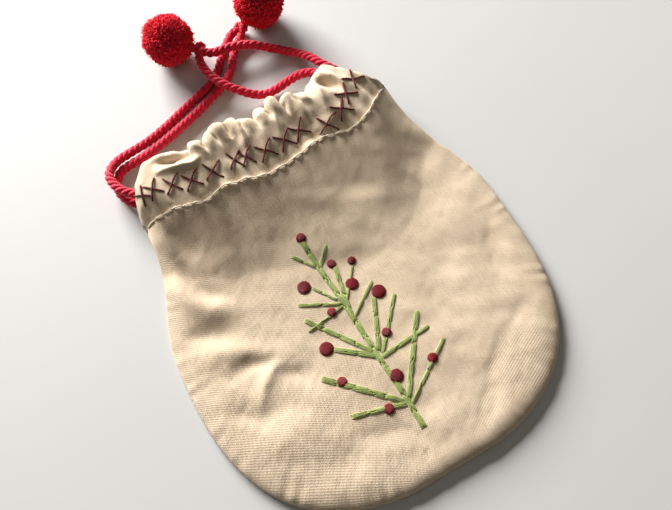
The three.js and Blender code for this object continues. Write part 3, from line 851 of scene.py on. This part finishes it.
def front_band_points():
    columns, rows = 460, 104
    section = spline(FRONT_SECTION, np.linspace(0, 1, rows))
    up, along = np.broadcast_arrays(section[:, :1], np.linspace(0, 1, columns)[None, :])
    place = band_point(along, up * eased(TOP_EDGE, along))
    ends = bell(along, 0.08, 0.11) + bell(along, 0.86, 0.11)
    level = section[:, 1:] - 0.7 * ends * np.maximum(0, section[:, 1:] - FLAT_LEVEL)
    held = 1 - smooth(up, 0.0, 0.5) * (1 - 0.6 * ends)
    z = level * MM + (hem_level_at(along) - BAND_LEVEL * MM) * held
    z = z + band_folds(along, up) * smooth(up, 0.0, 0.12)
    middle = smooth(along, 0.2, 0.27) * (1 - smooth(along, 0.63, 0.68))
    rising = np.sin(math.pi * np.clip(up, 0, 1) ** 0.62)
    z -= MIDDLE_DIP * middle * rising
    phase = math.pi * np.interp(along, RUFFLE_CRESTS, np.arange(len(RUFFLE_CRESTS)))
    lobes = np.abs(np.cos(phase)) ** 0.8 - 0.35
    z += lobes * (RUFFLE[0] + RUFFLE[1] * middle) * MM * smooth(up, 0.6, 0.92)
    z += hem_gathers(along, np.maximum(up, 0) * BAND_HEIGHT) * 0.8
    px, py = place[..., 0] / MM, place[..., 1] / MM
    uneven = 0.14 * ripples(px, py, 9, 21) + 0.05 * ripples(px, py, 4, 22)
    z += MM * uneven * smooth(up, 0.02, 0.2)
    closed = CLOSED_END_Z + (z - CLOSED_END_Z) * closing(along)
    z += (closed - z) * smooth(up, 0, 0.4)
    loose = middle * smooth(up, 0.66, 1.0) * MM
    x = place[..., 0] + loose * (RUFFLE_LEAN * np.sin(2 * phase) + 0.5 * ripples(px, py, 7, 23))
    y = place[..., 1] + 0.6 * loose * ripples(px, py, 6, 24)
    return np.stack([x, y, z], -1)


BAND_POINTS = front_band_points()
FRONT_TREE = surface_tree(FRONT_POINTS)
BAND_TREE = surface_tree(BAND_POINTS)


BACK_BAND_INSET = 0.03  # share of the band's length left off at each end
BACK_BAND_HEIGHT = 0.9  # share of the front band's height
# Share up the casing and the stretch along it. Room is left for the pull of each cord.
CORD_INSIDE = {"left_cord": (0.6, 0.2, 0.78), "right_cord": (0.24, 0.2, 0.8)}
AROUND_RUN = [(dx * MM, dy * MM) for dx in (-6, -4, -2, 0, 2) for dy in (-2, 0, 2, 4, 6)]
FRONT_RUN_Z = 14.6 * MM
LOWEST_RUN_Z = 6 * MM
BACK_RUN_Z = 3.35 * MM
RUN_CLEARANCE = CLOTH + 0.3 * MM


def make_cord_runs():
    """The cords inside the two casings, pressed down where the front one dips."""
    casings = [("front", 0, 1), ("back", BACK_BAND_INSET, BACK_BAND_HEIGHT)]
    for cord, (share, start, end) in CORD_INSIDE.items():
        for side, inset, height in casings:
            along = inset + (1 - 2 * inset) * np.linspace(start, end, 60)
            hem, top = spline(BAND_HEM, along), spline(BAND_TOP, along)
            place = hem + (top - hem) * share * height
            level = np.full(len(along), BACK_RUN_Z)
            if side == "front":
                roof = [lay_on([BAND_TREE], place[:, 0] + dx, place[:, 1] + dy, 0)[:, 2]
                        for dx, dy in AROUND_RUN]
                low_roof = np.min(roof, axis=0) - RUN_CLEARANCE - CORD_RADIUS
                level = np.clip(low_roof, LOWEST_RUN_Z, FRONT_RUN_Z)
            name = f"{cord}_{side}_run"
            obj, _ = rope(name + "_rope", np.column_stack([place, level]))
            finish_piece(obj, "cord_yarn", cord, name)


def make_front():
    panel = canvas_piece("front_panel_cloth", FRONT_POINTS, CLOTH, None, "front_panel")
    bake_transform(panel)
    band = canvas_piece("front_casing_cloth", BAND_POINTS, CLOTH, None, "front_casing")
    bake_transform(band)


make_front()
make_cord_runs()

# ------ back of the pouch
BACK_SECTION = [
    (0.06, 1.0), (0.0, 0.5), (0.3, 0.4), (0.6, 0.4), (0.82, 0.5), (0.93, 1.5), (0.98, 3.4),
    (0.94, 5.2), (0.84, 6.2), (0.6, 6.5), (0.3, 6.3), (0.14, 5.0), (0.06, 2.6),
]


BACK_CLOTH = 0.5 * MM
BACK_LIFT = 0.55 * MM
BACK_BAND_FLOOR = 0.45 * MM
ALLOWANCE_CLOTH = 0.6 * MM
ALLOWANCE_Z = 2.2 * MM
SEAM_INSET = 4.95 * MM
SEAM_THREAD = 0.2 * MM
OVERLOCK_THREAD = 0.22 * MM


def back_panel_points():
    rows, columns = 120, 130
    spread = np.linspace(-1, 1, columns)
    side = 0.7 * spread + 0.3 * np.sin(spread * math.pi / 2)
    side, rise = np.meshgrid(side, np.linspace(0, 1, rows) ** 1.2)
    x, y = body_point(side, rise)
    px, py = x / MM, y / MM
    wave = 0.5 + 0.5 * np.clip(ripples(px, py, 26, 31), -1, 1)
    z = 0.15 * MM + 0.5 * MM * wave + np.abs(pucker(x, y, 0.2 * MM))
    return np.stack([x, y, z], -1)


def back_band_points():
    columns, rows = 300, 70
    along = np.linspace(BACK_BAND_INSET, 1 - BACK_BAND_INSET, columns)[None, :]
    section = spline(BACK_SECTION, np.linspace(0, 1, rows))
    up, along = np.broadcast_arrays(section[:, :1], along)
    z = np.broadcast_to(section[:, 1:] * MM, up.shape).copy()
    top = BACK_BAND_HEIGHT * np.minimum(1, 1.15 * eased(TOP_EDGE, along))
    place = band_point(along, up * top * (1 + 0.05 * ripples(along * 120, up * 0, 8, 41)))
    wave = np.cos(2 * math.pi * 17 * along + 1.3 * np.sin(40 * along))
    z += 0.45 * MM * wave * smooth(up, 0.4, 1)
    px, py = place[..., 0] / MM, place[..., 1] / MM
    z += MM * 0.15 * ripples(px, py, 8, 42)
    z = 1.0 * MM + (z - 1.0 * MM) * (0.25 + 0.75 * closing(along))
    z = np.maximum(z, BACK_BAND_FLOOR)
    return np.stack([place[..., 0], place[..., 1], z], -1)


BACK_BAND_POINTS = back_band_points()


def seam_line(inset):
    """The seamed edge from hem to hem round the bottom, moved inwards by the inset."""
    rise = 0.95 * np.linspace(0, 1, 160) ** 2
    left, right = body_point(-1 + 0 * rise, rise), body_point(1 + 0 * rise, rise)
    line = np.stack([np.concatenate([left[k][::-1], right[k][1:]]) for k in range(2)], 1)
    line = even(line, 1.0 * MM)
    along = unit(np.gradient(line, axis=0))
    return line + inset * np.stack([-along[:, 1], along[:, 0]], 1)


def make_seam():
    """The allowance inside the side seam, its line of stitches and the overlocked raw edge."""
    insets = np.linspace(3.5, 9.5, 7) * MM
    rows = np.stack([seam_line(inset) for inset in insets])
    px, py = rows[..., 0] / MM, rows[..., 1] / MM
    loose = np.linspace(0, 1, len(insets))[:, None]
    z = ALLOWANCE_Z + MM * loose * (0.35 + 0.35 * ripples(px, py, 11, 51))
    points = np.concatenate([rows, z[..., None]], -1)
    canvas_piece("seam_allowance_cloth", points[::-1], ALLOWANCE_CLOTH, "back", "seam_allowance")
    tree = surface_tree(points)
    line = seam_line(SEAM_INSET)
    stitches = running_stitches([tree], line, 2.6 * MM, 0.9, SEAM_THREAD, SEAM_THREAD)
    thread_piece("seam_stitches", stitches, SEAM_THREAD, "cream_thread", "back", "seam_thread")
    inner, outer = even(points[-1], 0.25 * MM), even(points[3], 0.25 * MM)
    count = min(len(inner), len(outer))
    sway = (0.5 - 0.5 * np.cos(np.arange(count) * math.pi / 5))[:, None]
    edge = inner[:count] + (outer[:count] - inner[:count]) * sway * 0.7 + (0, 0, 0.25 * MM)
    thread_piece("overlock_stitches", edge[None], OVERLOCK_THREAD, "cream_thread", "back",
                 "overlock_thread")


def make_back():
    points = back_panel_points() + (0, 0, BACK_LIFT)
    panel = canvas_piece("back_panel_cloth", points, BACK_CLOTH, "back", "back_panel")
    band = canvas_piece("back_casing_cloth", BACK_BAND_POINTS, BACK_CLOTH, "back", "back_casing",
                        flip=True)


make_back()


# ------ stitching
def running_stitches(trees, along_line, pitch, share, radius, lift):
    """Short raised threads along a line on a surface. Each one fills a share of its pitch."""
    line = even(along_line, 0.4 * MM)
    run = even_run(line)
    count = int(run[-1] / pitch)
    stitches = []
    for i in range(count):
        marks = (i + np.linspace(0.5 - share / 2, 0.5 + share / 2, 9)) * pitch
        x, y = resampled(line, run, marks).T
        arch = lift * (1 - np.linspace(-1, 1, 9) ** 8)
        stitches.append(lay_on(trees, x, y, arch - radius * 0.3))
    return np.array(stitches)


HEM_THREAD = 0.3 * MM
HEM_PITCH = 4.2 * MM


# Crossed stitches: middle as shares along and up, tilt, and half width in millimetres.
CROSSES = [
    (0.052, 0.465, 0.10, 2.4), (0.086, 0.40, 0.05, 2.9), (0.141, 0.33, -0.10, 3.3),
    (0.194, 0.29, 0.0, 3.5), (0.259, 0.25, 0.10, 3.6), (0.336, 0.31, 0.05, 2.9),
    (0.375, 0.30, 0.0, 2.9), (0.436, 0.27, -0.05, 3.7), (0.50, 0.27, 0.0, 3.7),
    (0.56, 0.28, 0.1, 3.7), (0.652, 0.16, 0.25, 4.2), (0.737, 0.27, 0.12, 3.9),
    (0.806, 0.37, -0.1, 3.7), (0.895, 0.40, -0.1, 3.6),
]
CROSS_HALF_HEIGHT = 3.7 * MM
CROSS_BOW = 0.35 * MM
CROSS_LIFT = 0.2 * MM
CROSS_OVER = 0.3 * MM  # how much higher the upper leg lies
CROSS_DROP = 3 * MM  # a leg that runs off the band comes down no further than this
CROSS_PLY_RADIUS = 0.29 * MM
CROSS_PLY_OFFSET = 0.17 * MM
CROSS_LAY = 2.4 * MM


def cross_stitches():
    """Two legs for each cross, and two twisted plies for each leg."""
    paths = []
    marks = np.linspace(-1, 1, 13)
    for along, up, tilt, half in CROSSES:
        middle = band_point(np.array([along]), np.array([up]))[0]
        ahead = band_point(np.array([along + 0.01]), np.array([up]))[0]
        across = unit(ahead - middle)
        upward = np.array([-across[1], across[0]])
        for lean in (-1, 1):
            run = marks * half * MM * lean + tilt * marks * MM
            rise = marks * CROSS_HALF_HEIGHT + CROSS_BOW * (1 - marks ** 2) * lean
            place = middle + run[:, None] * across + rise[:, None] * upward
            arch = CROSS_LIFT + 0.15 * MM * (1 - marks ** 2) + (CROSS_OVER if lean > 0 else 0)
            arch = np.where(np.abs(marks) > 0.95, -CROSS_LIFT, arch)
            line = lay_on([BAND_TREE], place[:, 0], place[:, 1], arch)
            line[:, 2] = np.maximum(line[:, 2], line[:, 2].max() - CROSS_DROP)
            paths.extend(rope_paths(even_count(line, 26), CROSS_PLY_OFFSET, CROSS_LAY, plies=2))
    return paths


# The sprig's stem and needles: width and points, in millimetres.
SPRIG_LINES = [
    [2.3, (-8.3, 19.5), (-7.4, 4.8), (-5.9, -11.3), (-4.7, -37.3), (-3.5, -54), (-3, -69.8)],
    [1.1, (-14.7, 14.3), (-8.2, 5.4)],
    [0.9, (-13.8, -1.5), (-7.4, -10.8)],
    [1.0, (-22.3, -5.2), (-6.6, -13)],
    [1.1, (-23.5, -16.5), (-6.4, -14)],
    [1.9, (-22.8, -11.5), (-5, -36.2)],
    [2.0, (-18.6, -27.4), (-4.8, -38)],
    [2.0, (-28, -35.1), (-4.4, -58)],
    [1.9, (-25.2, -53.2), (-4, -58.8)],
    [1.1, (-0.3, 12), (-7.2, 4.4)],
    [1.8, (-1.3, 2.7), (-5.2, -16)],
    [0.8, (5.2, -0.5), (-5, -13.6)],
    [1.2, (8.9, -10.2), (-4.9, -20)],
    [1.9, (5.9, -16.5), (-3.4, -36.4)],
    [1.3, (13.9, -19.2), (-2.6, -38)],
    [1.5, (18.8, -37.4), (-3.6, -38.9)],
    [1.9, (17.9, -29.7), (-2.8, -57.6)],
    [1.2, (21.4, -44.2), (-2.8, -60)],
]
# Each berry's x, y and radius, in millimetres.
BERRIES = [
    (-7.9, 19.1, 1.9), (-2, 4, 1.7), (5.9, 1.3, 1.6), (1.1, -7.4, 2.5), (-16.6, 0.4, 2.6),
    (8.8, -15.4, 2.8), (-11.8, -14.1, 1.8), (3, -31.4, 1.8), (-20.7, -25.8, 2.7),
    (13.4, -48.8, 1.9), (-2.3, -48, 2.6), (-21.7, -40, 1.9), (-11.1, -57.4, 2),
]
SILK_RADIUS = 0.23 * MM
SILK_PITCH = 0.36 * MM
LONG_STITCH = 7 * MM
BERRY_THREAD = 0.22 * MM
BERRY_PITCH = 0.33 * MM
BERRY_DOME = 0.55 * MM


def needle_threads(width, points, random):
    """Long stitches side by side along a line, each row starting at its own place."""
    line = MM * np.asarray(points, float)
    if len(line) > 2:
        line = spline(line, np.linspace(0, 1, 60))
    line = even(line, 0.5 * MM)
    run = even_run(line)
    direction = unit(np.gradient(line, axis=0))
    side = np.stack([-direction[:, 1], direction[:, 0]], 1)
    count = max(2, int(round(width * MM / SILK_PITCH)))
    stitches = []
    for i in range(count):
        offset = (i - (count - 1) / 2) * SILK_PITCH
        begin = random.uniform(-0.3, 0.3) * MM
        end = run[-1] + random.uniform(-0.3, 0.3) * MM
        cuts = max(1, int(round((end - begin) / LONG_STITCH)))
        edges = np.linspace(begin, end, cuts + 1)
        edges[1:-1] += random.uniform(-1.6, 1.6, cuts - 1) * MM
        for low, high in zip(edges[:-1], edges[1:]):
            marks = np.linspace(low + 0.08 * MM, high - 0.08 * MM, 12)
            sway = random.normal(0, 0.05) * MM
            x, y = resampled(line + side * (offset + sway), run, marks).T
            local = np.linspace(-1, 1, 12)
            crown = 0.28 * MM * (1 - (2 * offset / (width * MM + SILK_PITCH)) ** 2)
            arch = (0.12 * MM + crown) * (1 - local ** 6) - 0.1 * MM
            stitches.append(lay_on([FRONT_TREE], x, y, arch))
    return stitches


def make_sprig():
    random = np.random.default_rng(7)
    stitches = []
    for width, *points in SPRIG_LINES:
        stitches.extend(needle_threads(width, points, random))
    thread_piece("sprig_satin", np.array(stitches), SILK_RADIUS, "green_thread", "front",
                 "sprig_embroidery")


def make_berry(name, x, y, radius, random):
    """A satin-stitched dot: threads side by side, higher in the middle."""
    angle = random.uniform(-0.5, 0.9)
    across = np.array([math.cos(angle), math.sin(angle)])
    upward = np.array([-across[1], across[0]])
    count = int(round(2 * radius * MM / BERRY_PITCH))
    stitches = []
    for layer, turn in ((0, 0.0), (1, 0.25)):
        first = across * math.cos(turn) + upward * math.sin(turn)
        second = -across * math.sin(turn) + upward * math.cos(turn)
        for i in range(count):
            offset = (i + 0.5) / count * 2 - 1
            half = math.sqrt(max(0.02, 1 - offset ** 2)) * random.uniform(0.94, 1.06)
            local = np.linspace(-1, 1, 10)
            reach = offset * second + half * local[:, None] * first
            place = (np.array([x, y]) + radius * reach) * MM
            dome = BERRY_DOME * math.sqrt(max(0, 1 - offset ** 2)) * np.sqrt(1 - 0.97 * local ** 2)
            lift = dome * (0.8 + 0.35 * layer)
            stitches.append(lay_on([FRONT_TREE], place[:, 0], place[:, 1], lift))
    thread_piece(name + "_satin", np.array(stitches), BERRY_THREAD, "berry_thread", "front", name)


def make_stitching():
    thread_piece("cross_stitches", cross_stitches(), CROSS_PLY_RADIUS, "stitch_thread", "front",
                 "cross_stitch_thread")
    line = band_point(np.linspace(0.015, 0.985, 300), np.full(300, -0.012))
    front = running_stitches([FRONT_TREE, BAND_TREE], line, HEM_PITCH, 0.92, HEM_THREAD, 0.6 * MM)
    threads = thread_piece("front_hem_stitches", front, HEM_THREAD, "cream_thread", None,
                           "front_hem_thread")
    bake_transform(threads)
    inside = BACK_BAND_INSET + (1 - 2 * BACK_BAND_INSET) * np.linspace(0.02, 0.98, 300)
    line = band_point(inside, np.full(300, 0.16))
    tree = surface_tree(BACK_BAND_POINTS)
    back = running_stitches([tree], line, HEM_PITCH, 0.88, HEM_THREAD, 0.5 * MM)
    thread_piece("back_hem_stitches", back, HEM_THREAD, "cream_thread", "back", "back_hem_thread")
    make_sprig()
    random = np.random.default_rng(9)
    for i, (x, y, radius) in enumerate(BERRIES):
        make_berry(f"berry_{i + 1:02d}", x, y, radius, random)


make_stitching()
make_seam()


# ------ floor and light
def floor_nodes(tree):
    place = node(tree, "TexCoord").outputs["Object"]
    cloud = noise(tree, place, 9.0, 3.0)
    darker = tuple(0.97 * value for value in FLOOR_COLOUR)
    colour = ramp(tree, cloud, [(0.3, darker), (0.7, FLOOR_COLOUR)])
    return {"Base Color": colour, "Roughness": 0.6}


FLOOR_HALF = 4  # metres
FLOOR_Z = -0.1 * MM
FLOOR_COLOUR = (0.56, 0.56, 0.555)
AMBIENT_COLOUR = (1.0, 0.92, 0.80, 1)
AMBIENT = 0.11
# Name, place, target, size, power in watts and colour.
LIGHTS = [
    ("key", (-0.3, 1.9, 0.68), (0, 0, 0.01), (1.2, 0.8), 160, (1.0, 0.985, 0.96)),
    ("top", (0.1, -0.1, 1.3), (0, 0, 0), (0.9, 0.9), 0.9, (1.0, 0.95, 0.88)),
]


def make_floor():
    corners = [(x * FLOOR_HALF, y * FLOOR_HALF, 0) for x, y in ((-1, -1), (1, -1), (1, 1), (-1, 1))]
    floor = mesh_object("floor", corners, [(0, 1, 2, 3)])
    floor.location.z = FLOOR_Z
    floor.data.materials.append(surface("floor", floor_nodes))


def area_light(name, place, target, size, power, colour):
    data = bpy.data.lights.new(name, "AREA")
    data.shape = "RECTANGLE"
    data.size, data.size_y = size
    data.energy = power
    data.color = colour
    light = bpy.data.objects.new(name, data)
    bpy.context.collection.objects.link(light)
    light.location = place
    light.rotation_euler = (Vector(target) - Vector(place)).to_track_quat("-Z", "Y").to_euler()


def make_light():
    world = bpy.data.worlds.new("studio")
    bpy.context.scene.world = world
    world.use_nodes = True
    background = world.node_tree.nodes["Background"]
    background.inputs[0].default_value = AMBIENT_COLOUR
    background.inputs[1].default_value = AMBIENT
    for light in LIGHTS:
        area_light(*light)
    bpy.context.scene.view_settings.view_transform = "Standard"


make_floor()
make_light()
